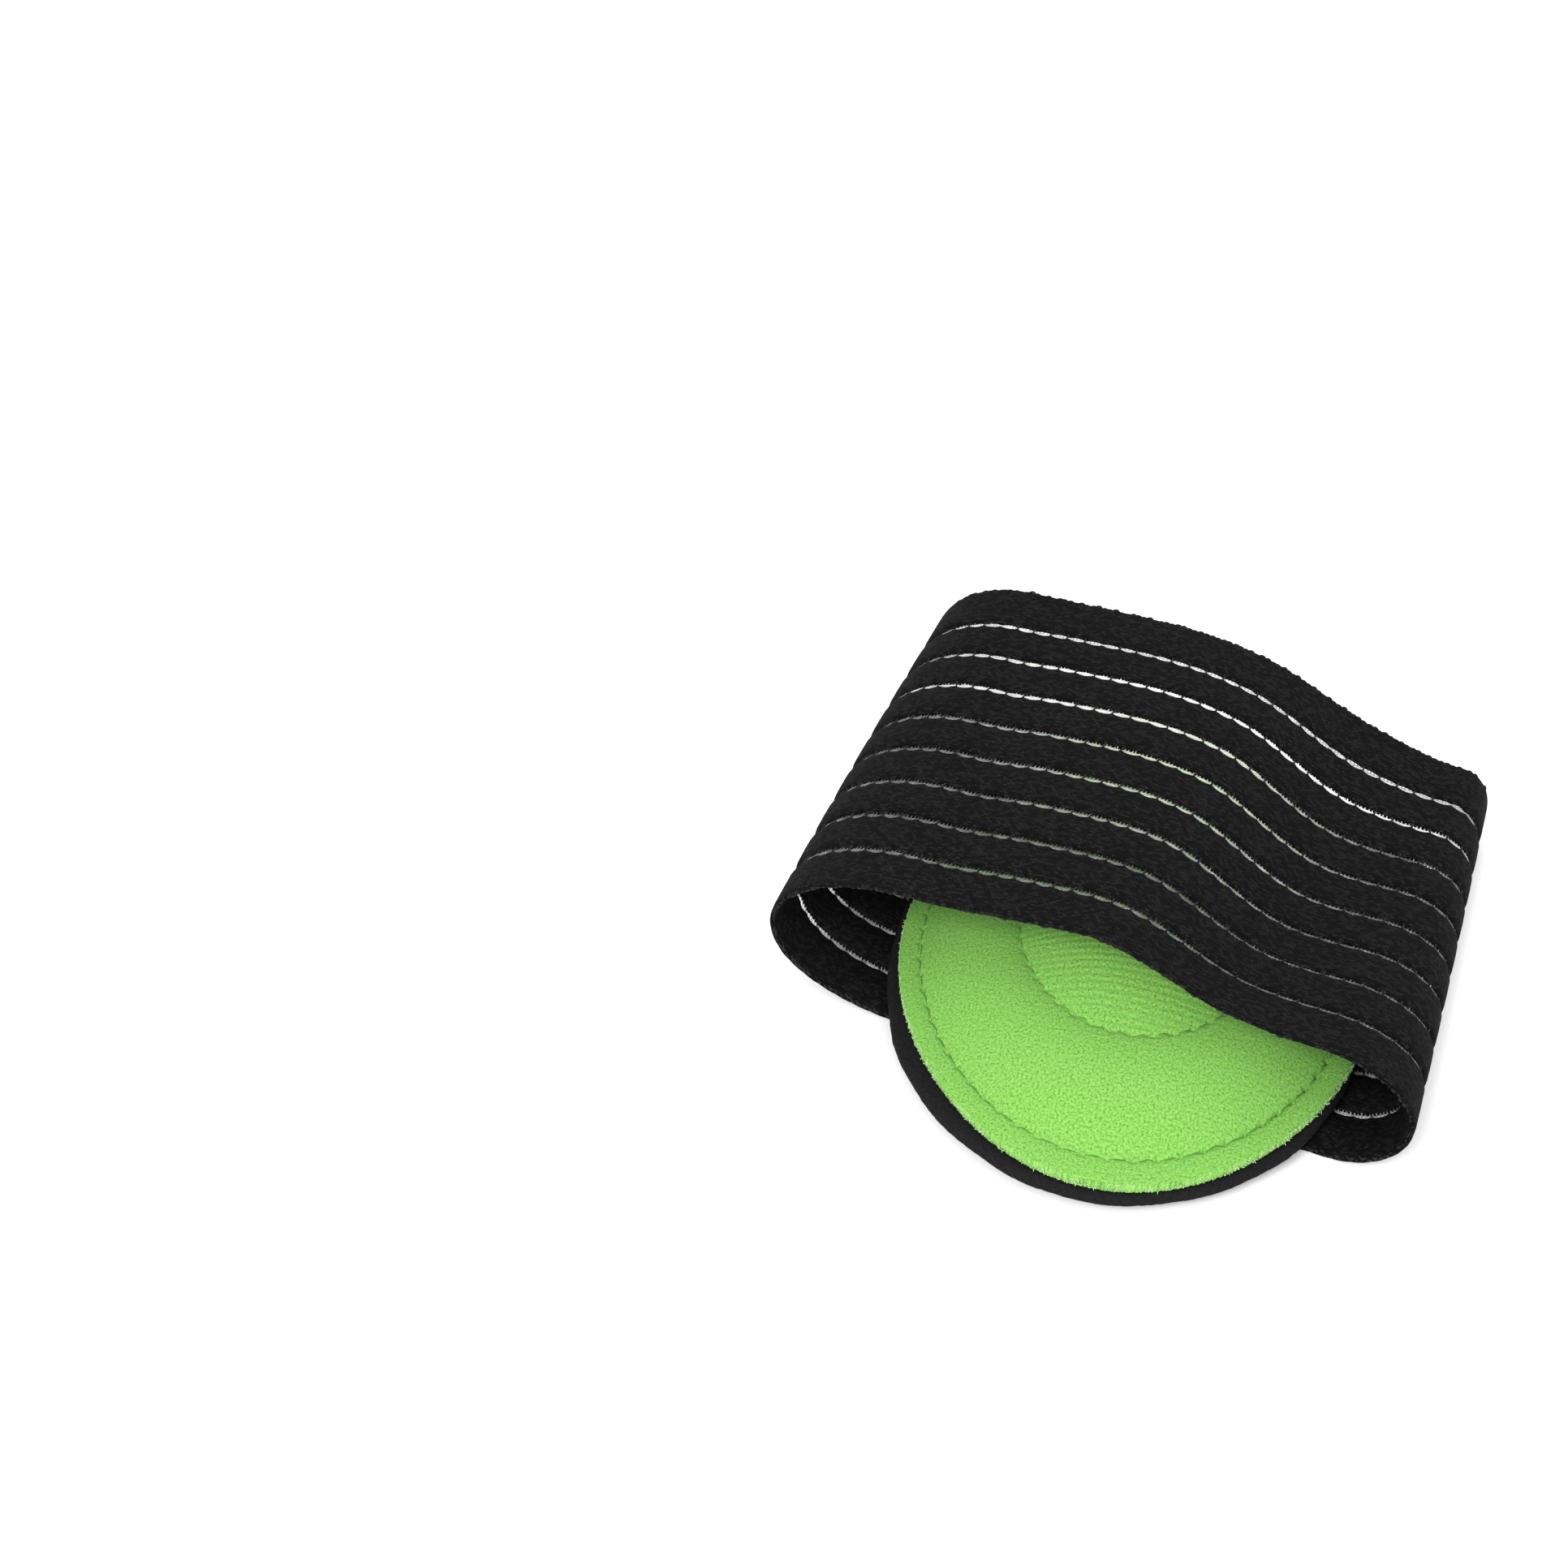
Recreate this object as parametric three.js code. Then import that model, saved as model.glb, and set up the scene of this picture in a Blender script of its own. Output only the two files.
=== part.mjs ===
// Arch support pad: an oval foot cushion on a flat backing, lying inside a knitted elastic sleeve.
// Millimetres, +Z up. The sleeve lies on its side with its loop running along X and Z, the wearer's
// toes point along -Y, and the origin is on the floor at the middle of the object's box.
import * as THREE from 'three';

// Sleeve: a knitted tube of nine ribs, parted by ladder slits that run round the loop.
const SLEEVE_WIDTH = 80;
const SLEEVE_FRONT_Y = -28;
const SLEEVE_WALL = 1.5;
const EDGE_RIB = 10;
const SLIT_COUNT = 8;
const SLIT_WIDTH = 1.2;
const GAPS_PER_SLIT = 15;
const BRIDGE_LENGTH = 1.2;
const FACETS_PER_GAP = 5;

// Outer line of the sleeve, seen from the front: a flat sole, a rounded fold at each side, and a top that
// rises to a crown and drops past a knee into a valley. A fold has its outermost X, its height, and how far
// in from that X its upper and lower quarter rounds reach. The rows are the front edge, the middle and the
// back edge.
const SLEEVE_SECTIONS = [
  {
    leftX: -46.0, leftTop: 24.5, leftUpper: 22.5, leftLower: 22.5,
    crownX: -7.0, crownZ: 26.2, kneeX: 2.5, kneeZ: 27.2, valleyX: 24.0, valleyZ: 20.8,
    rightX: 50.8, rightTop: 19.7, rightUpper: 15.2, rightLower: 11.0,
  },
  {
    leftX: -49.0, leftTop: 24.7, leftUpper: 20.8, leftLower: 14.0,
    crownX: -16.2, crownZ: 26.0, kneeX: 7.0, kneeZ: 25.0, valleyX: 25.5, valleyZ: 15.2,
    rightX: 48.2, rightTop: 14.6, rightUpper: 10.3, rightLower: 5.0,
  },
  {
    leftX: -50.7, leftTop: 26.3, leftUpper: 17.4, leftLower: 13.0,
    crownX: -27.5, crownZ: 26.5, kneeX: 7.0, kneeZ: 24.5, valleyX: 26.2, valleyZ: 16.3,
    rightX: 45.2, rightTop: 13.0, rightUpper: 5.0, rightLower: 5.0,
  },
];

// Cushion and backing: two ovals, stacked on the sleeve's lower layer with a hair of air between pieces.
const AIR_GAP = 0.4;
const OVAL_FACETS = 56;
const BACKING = { x: 4.4, y: -5.4, halfWidth: 36.6, halfLength: 47.0, turn: THREE.MathUtils.degToRad(8.5) };
const BACKING_THICKNESS = 2.2;
const BACKING_EDGE_ROUND = 0.5;
const CUSHION = { x: 4.0, y: -5.5, halfWidth: 35.3, halfLength: 46.5, turn: THREE.MathUtils.degToRad(11.5) };

// Height of the cushion's top over its base, from the cut edge inward. A share of 1 is the edge.
const CUSHION_PROFILE = [
  { share: 1.0, height: 1.5 }, // cut edge
  { share: 0.965, height: 2.2 }, // sewn margin
  { share: 0.915, height: 1.9 }, // outer seam
  { share: 0.87, height: 3.1 }, // foot of the dome
  { share: 0.76, height: 5.6 }, // outer slope
  { share: 0.62, height: 7.7 }, // outer shoulder
  { share: 0.55, height: 8.3 }, // lip of the inner seam
  { share: 0.51, height: 7.8 }, // inner seam
  { share: 0.46, height: 9.0 }, // foot of the inner dome
  { share: 0.33, height: 11.4 }, // inner shoulder
  { share: 0.16, height: 12.9 }, // near the crown
];
const CUSHION_CROWN = 13.3;

const BACKING_BASE_Z = SLEEVE_WALL + AIR_GAP;
const CUSHION_BASE_Z = BACKING_BASE_Z + BACKING_THICKNESS + AIR_GAP;

const knitBlack = new THREE.MeshStandardMaterial({ color: 0x1d1d1f, roughness: 0.9, metalness: 0 });
const backingBlack = new THREE.MeshStandardMaterial({ color: 0x19191a, roughness: 0.95, metalness: 0 });
const loopGreen = new THREE.MeshStandardMaterial({ color: 0x7fd857, roughness: 0.95, metalness: 0 });

// One row of the sleeve table for a place across its width: 0 is the front edge and 1 the back edge.
function sectionAt(share) {
  const [front, middle, back] = SLEEVE_SECTIONS;
  const frontWeight = (1 - share) * (1 - 2 * share);
  const middleWeight = 4 * share * (1 - share);
  const backWeight = share * (2 * share - 1);
  const row = {};
  for (const column of Object.keys(front)) {
    row[column] = frontWeight * front[column] + middleWeight * middle[column] + backWeight * back[column];
  }
  return row;
}

// Smooth top line through stations, level at both ends, as one Bezier curve for each stretch.
function addTopLine(path, stations) {
  const last = stations.length - 1;
  const runs = [];
  const grades = [];
  for (let i = 0; i < last; i += 1) {
    runs.push(stations[i + 1].x - stations[i].x);
    grades.push((stations[i + 1].z - stations[i].z) / runs[i]);
  }
  const slopes = stations.map((_, i) => {
    if (i === 0 || i === last) return 0;
    return (grades[i - 1] * runs[i] + grades[i] * runs[i - 1]) / (runs[i - 1] + runs[i]);
  });
  for (let i = 0; i < last; i += 1) {
    const start = stations[i];
    const end = stations[i + 1];
    const third = runs[i] / 3;
    path.bezierCurveTo(
      start.x + third, start.z + slopes[i] * third,
      end.x - third, end.z - slopes[i + 1] * third,
      end.x, end.z,
    );
  }
}

// Closed outer line of the sleeve at one place across its width, in X and Z, starting at the sole's left end.
function outerLine(row) {
  const quarter = Math.PI / 2;
  const soleLeft = row.leftX + row.leftLower;
  const topLeft = row.leftX + row.leftUpper;
  const topRight = row.rightX - row.rightUpper;
  const soleRight = row.rightX - row.rightLower;
  const leftMiddle = row.leftTop / 2;
  const rightMiddle = row.rightTop / 2;
  const path = new THREE.Path();
  path.moveTo(soleLeft, 0);
  path.absellipse(soleLeft, leftMiddle, row.leftLower, leftMiddle, -quarter, -2 * quarter, true);
  path.absellipse(topLeft, leftMiddle, row.leftUpper, leftMiddle, 2 * quarter, quarter, true);
  addTopLine(path, [
    { x: topLeft, z: row.leftTop },
    { x: row.crownX, z: row.crownZ },
    { x: row.kneeX, z: row.kneeZ },
    { x: row.valleyX, z: row.valleyZ },
    { x: topRight, z: row.rightTop },
  ]);
  path.absellipse(topRight, rightMiddle, row.rightUpper, rightMiddle, quarter, 0, true);
  path.absellipse(soleRight, rightMiddle, row.rightLower, rightMiddle, 0, -quarter, true);
  path.lineTo(soleLeft, 0);
  return path;
}

// Places round the loop, as shares of its length, each with whether the knit bridges the slits from there on.
function loopColumns(loopLength) {
  const columns = [];
  const period = 1 / GAPS_PER_SLIT;
  const bridge = BRIDGE_LENGTH / loopLength;
  for (let gap = 0; gap < GAPS_PER_SLIT; gap += 1) {
    const start = gap * period;
    columns.push({ share: start, bridged: true });
    for (let facet = 0; facet < FACETS_PER_GAP; facet += 1) {
      columns.push({ share: start + bridge + (facet / FACETS_PER_GAP) * (period - bridge), bridged: false });
    }
  }
  return columns;
}

// Places across the sleeve, in mm from its front edge, each with whether a slit runs from there to the next.
function widthRows() {
  const pitch = (SLEEVE_WIDTH - 2 * EDGE_RIB) / (SLIT_COUNT - 1);
  const rows = [{ offset: 0, slit: false }];
  for (let slit = 0; slit < SLIT_COUNT; slit += 1) {
    const middle = EDGE_RIB + slit * pitch;
    rows.push({ offset: middle - SLIT_WIDTH / 2, slit: true });
    rows.push({ offset: middle + SLIT_WIDTH / 2, slit: false });
  }
  rows.push({ offset: SLEEVE_WIDTH, slit: false });
  return rows;
}

// Sleeve wall: an outer and an inner skin over a grid of cells, closed at both edges and round every gap.
function sleeveGeometry() {
  const columns = loopColumns(outerLine(sectionAt(0.5)).getLength());
  const rows = widthRows();
  const columnCount = columns.length;
  const positions = [];
  const triangles = [];

  for (const { offset } of rows) {
    const line = outerLine(sectionAt(offset / SLEEVE_WIDTH));
    for (const { share } of columns) {
      const point = line.getPoint(share);
      const tangent = line.getTangent(share);
      const y = SLEEVE_FRONT_Y + offset;
      positions.push(point.x, y, point.y);
      positions.push(point.x + tangent.y * SLEEVE_WALL, y, point.y - tangent.x * SLEEVE_WALL);
    }
  }

  const outer = (row, column) => 2 * (row * columnCount + (column % columnCount));
  const inner = (row, column) => outer(row, column) + 1;
  const addQuad = (a, b, c, d) => triangles.push(a, b, c, a, c, d);
  const isSolid = (row, column) => {
    if (row < 0 || row >= rows.length - 1) return false;
    return !rows[row].slit || columns[(column + columnCount) % columnCount].bridged;
  };

  for (let row = 0; row < rows.length - 1; row += 1) {
    for (let column = 0; column < columnCount; column += 1) {
      if (!isSolid(row, column)) continue;
      const next = column + 1;
      addQuad(outer(row, column), outer(row, next), outer(row + 1, next), outer(row + 1, column));
      addQuad(inner(row, column), inner(row + 1, column), inner(row + 1, next), inner(row, next));
      if (!isSolid(row - 1, column)) {
        addQuad(outer(row, column), inner(row, column), inner(row, next), outer(row, next));
      }
      if (!isSolid(row + 1, column)) {
        addQuad(outer(row + 1, column), outer(row + 1, next), inner(row + 1, next), inner(row + 1, column));
      }
      if (!isSolid(row, column - 1)) {
        addQuad(outer(row, column), outer(row + 1, column), inner(row + 1, column), inner(row, column));
      }
      if (!isSolid(row, next)) {
        addQuad(outer(row, next), inner(row, next), inner(row + 1, next), outer(row + 1, next));
      }
    }
  }
  return meshGeometry(positions, triangles);
}

// Oval body from rings listed from the bottom up, each a share of the oval's size at a height, closed by a
// flat bottom and by a crown point.
function ovalGeometry(oval, rings, crownZ) {
  const positions = [];
  const triangles = [];
  const cosTurn = Math.cos(oval.turn);
  const sinTurn = Math.sin(oval.turn);
  for (const { share, z } of rings) {
    for (let facet = 0; facet < OVAL_FACETS; facet += 1) {
      const angle = (facet / OVAL_FACETS) * 2 * Math.PI;
      const across = share * oval.halfWidth * Math.cos(angle);
      const along = share * oval.halfLength * Math.sin(angle);
      positions.push(
        oval.x + across * cosTurn - along * sinTurn,
        oval.y + across * sinTurn + along * cosTurn,
        z,
      );
    }
  }
  const bottom = rings.length * OVAL_FACETS;
  const crown = bottom + 1;
  positions.push(oval.x, oval.y, rings[0].z);
  positions.push(oval.x, oval.y, crownZ);
  for (let facet = 0; facet < OVAL_FACETS; facet += 1) {
    const next = (facet + 1) % OVAL_FACETS;
    const topRing = (rings.length - 1) * OVAL_FACETS;
    triangles.push(bottom, next, facet);
    triangles.push(crown, topRing + facet, topRing + next);
    for (let ring = 0; ring < rings.length - 1; ring += 1) {
      const low = ring * OVAL_FACETS;
      const high = low + OVAL_FACETS;
      triangles.push(low + facet, low + next, high + next);
      triangles.push(low + facet, high + next, high + facet);
    }
  }
  return meshGeometry(positions, triangles);
}

function meshGeometry(positions, triangles) {
  const geometry = new THREE.BufferGeometry();
  geometry.setAttribute('position', new THREE.Float32BufferAttribute(positions, 3));
  geometry.setIndex(triangles);
  geometry.computeVertexNormals();
  return geometry;
}

// Backing: a flat oval plate with its edge rounded off above and below.
function backingGeometry() {
  const inset = 1 - BACKING_EDGE_ROUND / BACKING.halfWidth;
  const top = BACKING_BASE_Z + BACKING_THICKNESS;
  const rings = [
    { share: inset, z: BACKING_BASE_Z },
    { share: 1, z: BACKING_BASE_Z + BACKING_EDGE_ROUND },
    { share: 1, z: top - BACKING_EDGE_ROUND },
    { share: inset, z: top },
  ];
  return ovalGeometry(BACKING, rings, top);
}

// Cushion: a cut edge, a sewn margin, and a dome with a second seam half way up.
function cushionGeometry() {
  const rings = [{ share: 1, z: CUSHION_BASE_Z }];
  for (const { share, height } of CUSHION_PROFILE) rings.push({ share, z: CUSHION_BASE_Z + height });
  return ovalGeometry(CUSHION, rings, CUSHION_BASE_Z + CUSHION_CROWN);
}

function namedMesh(name, geometry, material) {
  const mesh = new THREE.Mesh(geometry, material);
  mesh.name = name;
  return mesh;
}

const archSupport = new THREE.Group();
archSupport.add(
  namedMesh('sleeve_band', sleeveGeometry(), knitBlack),
  namedMesh('pad_backing', backingGeometry(), backingBlack),
  namedMesh('arch_pad', cushionGeometry(), loopGreen),
);

export default archSupport;
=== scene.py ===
# Looks of an arch support pad: a green loop-knit cushion on a black backing inside a ribbed elastic sleeve.
# Sizes are in millimetres in the part's own frame, and meshes are made in metres.
import math

import bpy
import numpy as np
from mathutils import Euler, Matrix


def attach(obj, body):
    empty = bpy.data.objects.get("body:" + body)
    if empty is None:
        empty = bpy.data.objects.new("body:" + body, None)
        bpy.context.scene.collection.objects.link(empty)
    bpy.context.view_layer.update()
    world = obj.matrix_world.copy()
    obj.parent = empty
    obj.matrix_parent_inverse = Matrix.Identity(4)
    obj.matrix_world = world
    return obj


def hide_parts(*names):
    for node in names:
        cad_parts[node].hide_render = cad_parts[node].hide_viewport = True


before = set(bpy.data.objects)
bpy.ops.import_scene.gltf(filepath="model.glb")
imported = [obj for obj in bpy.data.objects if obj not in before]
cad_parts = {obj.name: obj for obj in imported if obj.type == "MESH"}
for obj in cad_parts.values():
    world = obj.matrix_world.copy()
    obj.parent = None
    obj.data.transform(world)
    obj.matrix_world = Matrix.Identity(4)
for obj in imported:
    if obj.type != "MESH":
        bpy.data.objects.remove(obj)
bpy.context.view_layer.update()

MM = 0.001
TURN = 2 * math.pi

# Sleeve, as in the part's source: width, wall, and where the ladder slits run.
SLEEVE_WIDTH = 80.0
SLEEVE_FRONT_Y = -28.0
SLEEVE_WALL = 1.5
EDGE_RIB = 10.0
SLIT_COUNT = 8
SLIT_PITCH = (SLEEVE_WIDTH - 2 * EDGE_RIB) / (SLIT_COUNT - 1)
# Draw of the knit: over the cushion the front hem pulls in and the slits shift back, along the sole the
# slits shift to the front and open less, and right of the cushion's crest the front slits open less too.
HEM_DRAW = 1.4
SLIT_DRAW = 0.4
SOLE_DRAW = -1.2
SOLE_OPENING = 0.65
RIGHT_CLOSING = 0.35
# Heights, as shares of the front edge's highest point, between which the hem's draw grows, and the height
# where the sole's slackness ends. The closing starts at CLOSING_X and is full after CLOSING_RUN.
HEM_DRAW_START = 0.25
HEM_DRAW_FULL = 0.875
SLACK_TOP = 0.25
CLOSING_X = 8.0
CLOSING_RUN = 12.0

# Outer line of the sleeve at its front edge, middle and back edge, as in the part's source.
SLEEVE_SECTIONS = [
    dict(leftX=-46.0, leftTop=24.5, leftUpper=22.5, leftLower=22.5,
         crownX=-7.0, crownZ=26.2, kneeX=2.5, kneeZ=27.2, valleyX=24.0, valleyZ=20.8,
         rightX=50.8, rightTop=19.7, rightUpper=15.2, rightLower=11.0),
    dict(leftX=-49.0, leftTop=24.7, leftUpper=20.8, leftLower=14.0,
         crownX=-16.2, crownZ=26.0, kneeX=7.0, kneeZ=25.0, valleyX=25.5, valleyZ=15.2,
         rightX=48.2, rightTop=14.6, rightUpper=10.3, rightLower=5.0),
    dict(leftX=-50.7, leftTop=26.3, leftUpper=17.4, leftLower=13.0,
         crownX=-27.5, crownZ=26.5, kneeX=7.0, kneeZ=24.5, valleyX=26.2, valleyZ=16.3,
         rightX=45.2, rightTop=13.0, rightUpper=5.0, rightLower=5.0),
]

# Knit of the sleeve: its pattern repeats round the loop, with a few columns of mesh for each repeat. The
# sides of a strand are counted from a slanting direction that hardly any strand runs along.
KNIT_REPEATS = 74
COLUMNS_PER_REPEAT = 10
SLEEVE_COLUMNS = KNIT_REPEATS * COLUMNS_PER_REPEAT
LATTICE_ROWS = 41
THREADS_PER_REPEAT = 5
LOOPS_PER_REPEAT = 3
STRAND_UP = (0.31, 0.2, 0.93)

# Backing as in the part's source apart from its right flank, which is drawn in, and the cushion's cover, a
# little smaller than the source's oval: pinch is the share by which an oval is drawn in midway between its
# ends and its sides.
AIR_GAP = 0.4
BACKING = dict(x=4.4, y=-5.4, half_width=36.6, half_length=47.0, turn=math.radians(8.5), pinch=0.0)
BACKING_THICKNESS = 2.2
BACKING_RIGHT_DRAW = 1.5
CUSHION = dict(
    x=4.35, y=-5.45, half_width=34.95, half_length=46.4, turn=math.radians(11.5), pinch=0.022,
)
BACKING_BASE = SLEEVE_WALL + AIR_GAP
CUSHION_BASE = BACKING_BASE + BACKING_THICKNESS + AIR_GAP
# Dome of the cushion: share of the way out from its middle, and height above its base in mm.
OUTER_SEAM = 0.915
INNER_SEAM = 0.51
EDGE_SLOPE = -8.0
CUSHION_PROFILE = [
    (0.0, 13.3), (0.16, 12.9), (0.33, 11.4), (0.46, 9.2), (INNER_SEAM, 8.3), (0.55, 8.2),
    (0.62, 7.6), (0.76, 5.4), (0.87, 3.1), (OUTER_SEAM, 2.2), (0.965, 1.9), (1.0, 1.6),
]

rng = np.random.default_rng(7)


# Meshes

def mesh_object(name, points, faces, material, loop_uv=None):
    """A smooth-shaded object from points in millimetres, with texture lengths for each face corner."""
    mesh = bpy.data.meshes.new(name)
    mesh.from_pydata((np.asarray(points) * MM).tolist(), [], [list(face) for face in faces])
    if loop_uv is not None:
        layer = mesh.uv_layers.new(name="lengths")
        layer.data.foreach_set("uv", np.asarray(loop_uv, np.float32).ravel())
    mesh.polygons.foreach_set("use_smooth", [True] * len(mesh.polygons))
    mesh.materials.append(material)
    mesh.update()
    piece = bpy.data.objects.new(name, mesh)
    bpy.context.scene.collection.objects.link(piece)
    return piece


def ring_faces(ring_count, ring_size, first=0, close_rings=False):
    """Quads between rings of points that follow each other, each ring closed round."""
    ring = np.arange(ring_count if close_rings else ring_count - 1)
    point = np.arange(ring_size)
    low = first + ring[:, None] * ring_size
    high = first + ((ring + 1) % ring_count)[:, None] * ring_size
    after = (point + 1) % ring_size
    quads = np.stack([low + point, low + after, high + after, high + point], axis=-1)
    return quads.reshape(-1, 4)


def unit(vectors):
    """Vectors of length one in the same directions."""
    return vectors / np.maximum(np.linalg.norm(vectors, axis=-1, keepdims=True), 1e-9)


def tubes(paths, radii, sides, up):
    """Points and faces of many round strands: paths is strand, step, xyz, with one radius for each step."""
    count, steps, _ = paths.shape
    along = unit(np.gradient(paths, axis=1))
    across = unit(np.cross(along, np.broadcast_to(up, paths.shape)))
    over = np.cross(across, along)
    angle = np.arange(sides) * TURN / sides
    offset = across[:, :, None] * np.cos(angle)[:, None] + over[:, :, None] * np.sin(angle)[:, None]
    points = paths[:, :, None] + np.asarray(radii)[None, :, None, None] * offset
    one = ring_faces(steps, sides)
    shift = (np.arange(count) * steps * sides)[:, None, None]
    quads = (one[None] + shift).reshape(-1, 4)
    first_cap = np.arange(sides)[::-1]
    last_cap = (steps - 1) * sides + np.arange(sides)
    caps = np.concatenate([first_cap[None] + shift[:, 0], last_cap[None] + shift[:, 0]])
    return points.reshape(-1, 3), quads.tolist() + caps.tolist()


def smooth_line(stations, values, at, end_slopes):
    """Smooth curve through stations, read at some places, with given slopes at its two ends."""
    x = np.asarray(stations, float)
    y = np.asarray(values, float)
    run = np.diff(x)
    grade = np.diff(y) / run
    slope = np.empty_like(y)
    slope[1:-1] = (grade[:-1] * run[1:] + grade[1:] * run[:-1]) / (run[:-1] + run[1:])
    slope[0], slope[-1] = end_slopes
    k = np.clip(np.searchsorted(x, at, side="right") - 1, 0, len(x) - 2)
    t = (np.asarray(at, float) - x[k]) / run[k]
    return (
        y[k] * (1 + 2 * t) * (1 - t) ** 2 + slope[k] * run[k] * t * (1 - t) ** 2
        + y[k + 1] * t * t * (3 - 2 * t) + slope[k + 1] * run[k] * t * t * (t - 1)
    )


# Sleeve surface

def section_at(share):
    """One row of the sleeve table: share 0 is the front edge and 1 the back edge."""
    front, middle, back = SLEEVE_SECTIONS
    weights = (1 - share) * (1 - 2 * share), 4 * share * (1 - share), share * (2 * share - 1)
    return {
        key: weights[0] * front[key] + weights[1] * middle[key] + weights[2] * back[key] for key in front
    }


def outer_line(row, count):
    """Points round the sleeve's outer line in X and Z, evenly spaced from the left end of the sole."""
    quarter = np.linspace(0, math.pi / 2, 60)
    left_mid, right_mid = row["leftTop"] / 2, row["rightTop"] / 2
    sole_left = row["leftX"] + row["leftLower"]
    sole_right = row["rightX"] - row["rightLower"]
    top_left = row["leftX"] + row["leftUpper"]
    top_right = row["rightX"] - row["rightUpper"]
    top_x = np.linspace(top_left, top_right, 400)
    top_z = smooth_line(
        [top_left, row["crownX"], row["kneeX"], row["valleyX"], top_right],
        [row["leftTop"], row["crownZ"], row["kneeZ"], row["valleyZ"], row["rightTop"]],
        top_x, (0, 0),
    )
    parts = [
        (sole_left - row["leftLower"] * np.sin(quarter), left_mid * (1 - np.cos(quarter))),
        (top_left - row["leftUpper"] * np.cos(quarter), left_mid * (1 + np.sin(quarter))),
        (top_x, top_z),
        (top_right + row["rightUpper"] * np.sin(quarter), right_mid * (1 + np.cos(quarter))),
        (sole_right + row["rightLower"] * np.cos(quarter), right_mid * (1 - np.sin(quarter))),
        (np.array([sole_left]), np.array([0.0])),
    ]
    line = np.concatenate([np.stack(part, axis=1) for part in parts])
    length = np.concatenate([[0], np.cumsum(np.linalg.norm(np.diff(line, axis=0), axis=1))])
    place = np.arange(count) / count * length[-1]
    points = np.stack([np.interp(place, length, line[:, k]) for k in (0, 1)], axis=1)
    return points, length[-1]


class SleeveSurface:
    """The sleeve's outer surface as a lattice, read at any place across it and any depth in its wall."""

    def __init__(self):
        lines = [outer_line(section_at(s), SLEEVE_COLUMNS) for s in np.linspace(0, 1, LATTICE_ROWS)]
        self.lattice = np.array([line for line, _ in lines])
        self.loop = float(np.mean([length for _, length in lines]))
        along = np.roll(self.lattice, -1, axis=1) - np.roll(self.lattice, 1, axis=1)
        self.inward = unit(np.stack([along[..., 1], -along[..., 0]], axis=-1))
        self.columns = np.arange(SLEEVE_COLUMNS)
        self.lengths = self.columns * self.loop / SLEEVE_COLUMNS
        rise = self.lattice[0, :, 1] / self.lattice[0, :, 1].max()
        hem_share = (rise - HEM_DRAW_START) / (HEM_DRAW_FULL - HEM_DRAW_START)
        self.front_hem = HEM_DRAW * np.clip(hem_share, 0, 1)
        self.back_hem = np.full(SLEEVE_COLUMNS, SLEEVE_WIDTH)
        slack = np.clip(1 - rise / SLACK_TOP, 0, 1)
        self.slit_draw = SLIT_DRAW + (SOLE_DRAW - SLIT_DRAW) * slack
        self.sole_opening = 1 + (SOLE_OPENING - 1) * slack
        past_crest = np.clip((self.lattice[0, :, 0] - CLOSING_X) / CLOSING_RUN, 0, 1)
        self.fallen = past_crest * (1 - slack)

    def opening(self, slit):
        """Share of a slit's full opening for every column."""
        closing = RIGHT_CLOSING * (1 - slit / (SLIT_COUNT - 1))
        return self.sole_opening * (1 - closing * self.fallen)

    def at(self, column, offset, depth):
        """Points at columns, whole or not, at mm from the front edge and mm below the outer surface."""
        column, offset, depth = np.broadcast_arrays(column, offset, depth)
        row = np.clip(offset / SLEEVE_WIDTH, 0, 1) * (LATTICE_ROWS - 1)
        low = np.minimum(row.astype(int), LATTICE_ROWS - 2)
        left = np.floor(column).astype(int)
        row_share = (row - low)[..., None]
        column_share = (column - left)[..., None]
        left, right = left % SLEEVE_COLUMNS, (left + 1) % SLEEVE_COLUMNS

        def blend(field):
            near = field[low, left] * (1 - column_share) + field[low, right] * column_share
            far = field[low + 1, left] * (1 - column_share) + field[low + 1, right] * column_share
            return near * (1 - row_share) + far * row_share

        xz = blend(self.lattice) + blend(self.inward) * depth[..., None]
        return np.stack([xz[..., 0], SLEEVE_FRONT_Y + offset, xz[..., 1]], axis=-1)


# Sleeve pieces

# Lines along an edge of a rib, thin at a slit and rounded at a hem: mm in from the edge, and mm that the
# line sits in from the outer face or the inner face there.
SLIT_EDGE = dict(
    outside=[(0.0, 0.68), (0.2, 0.4), (0.6, 0.16), (1.4, 0.03)],
    inside=[(0.12, 0.58), (0.9, 0.1)],
)
HEM_EDGE = dict(
    outside=[(0.0, 0.5), (0.1, 0.24), (0.35, 0.07), (1.4, 0.0)],
    inside=[(0.1, 0.75), (0.5, 0.5)],
)
# Half width of a slit at its necks, how far its lobes open to the front and to the back, and how blunt they
# are. The hems bulge a little with the same repeat.
NECK_HALF = 0.28
FRONT_LOBE = 0.45
BACK_LOBE = 0.25
LOBE_POWER = 0.8
EDGE_BUMP = 0.1
# Strands across the slits: how much their depth varies, the radii of the clear filaments and of the black
# ties, and the share of the necks that have a tie.
DEPTH_SPREAD = 0.05
COMB_RADIUS = 0.1
TIE_RADIUS = 0.15
TIE_SHARE = 0.85
# Clear strand along a slit: its depth, how much it wanders, and how far forward it lies and how thick it is
# at a neck, each with what a full lobe adds.
CORD_DEPTH = 0.64
CORD_WANDER = 0.07
CORD_FORWARD = (0.1, 0.22)
CORD_RADIUS = (0.08, 0.13)
# Turns of yarn along the hems: the reach of small ones, how far inside the hem each starts and how far it
# rises from there without its reach, and the least height of its middle above the floor.
SMALL_LOOP = 0.1
LOOP_ROOT = 0.65
LOOP_RISE = 0.5
LOOP_FLOOR = 0.2


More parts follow.
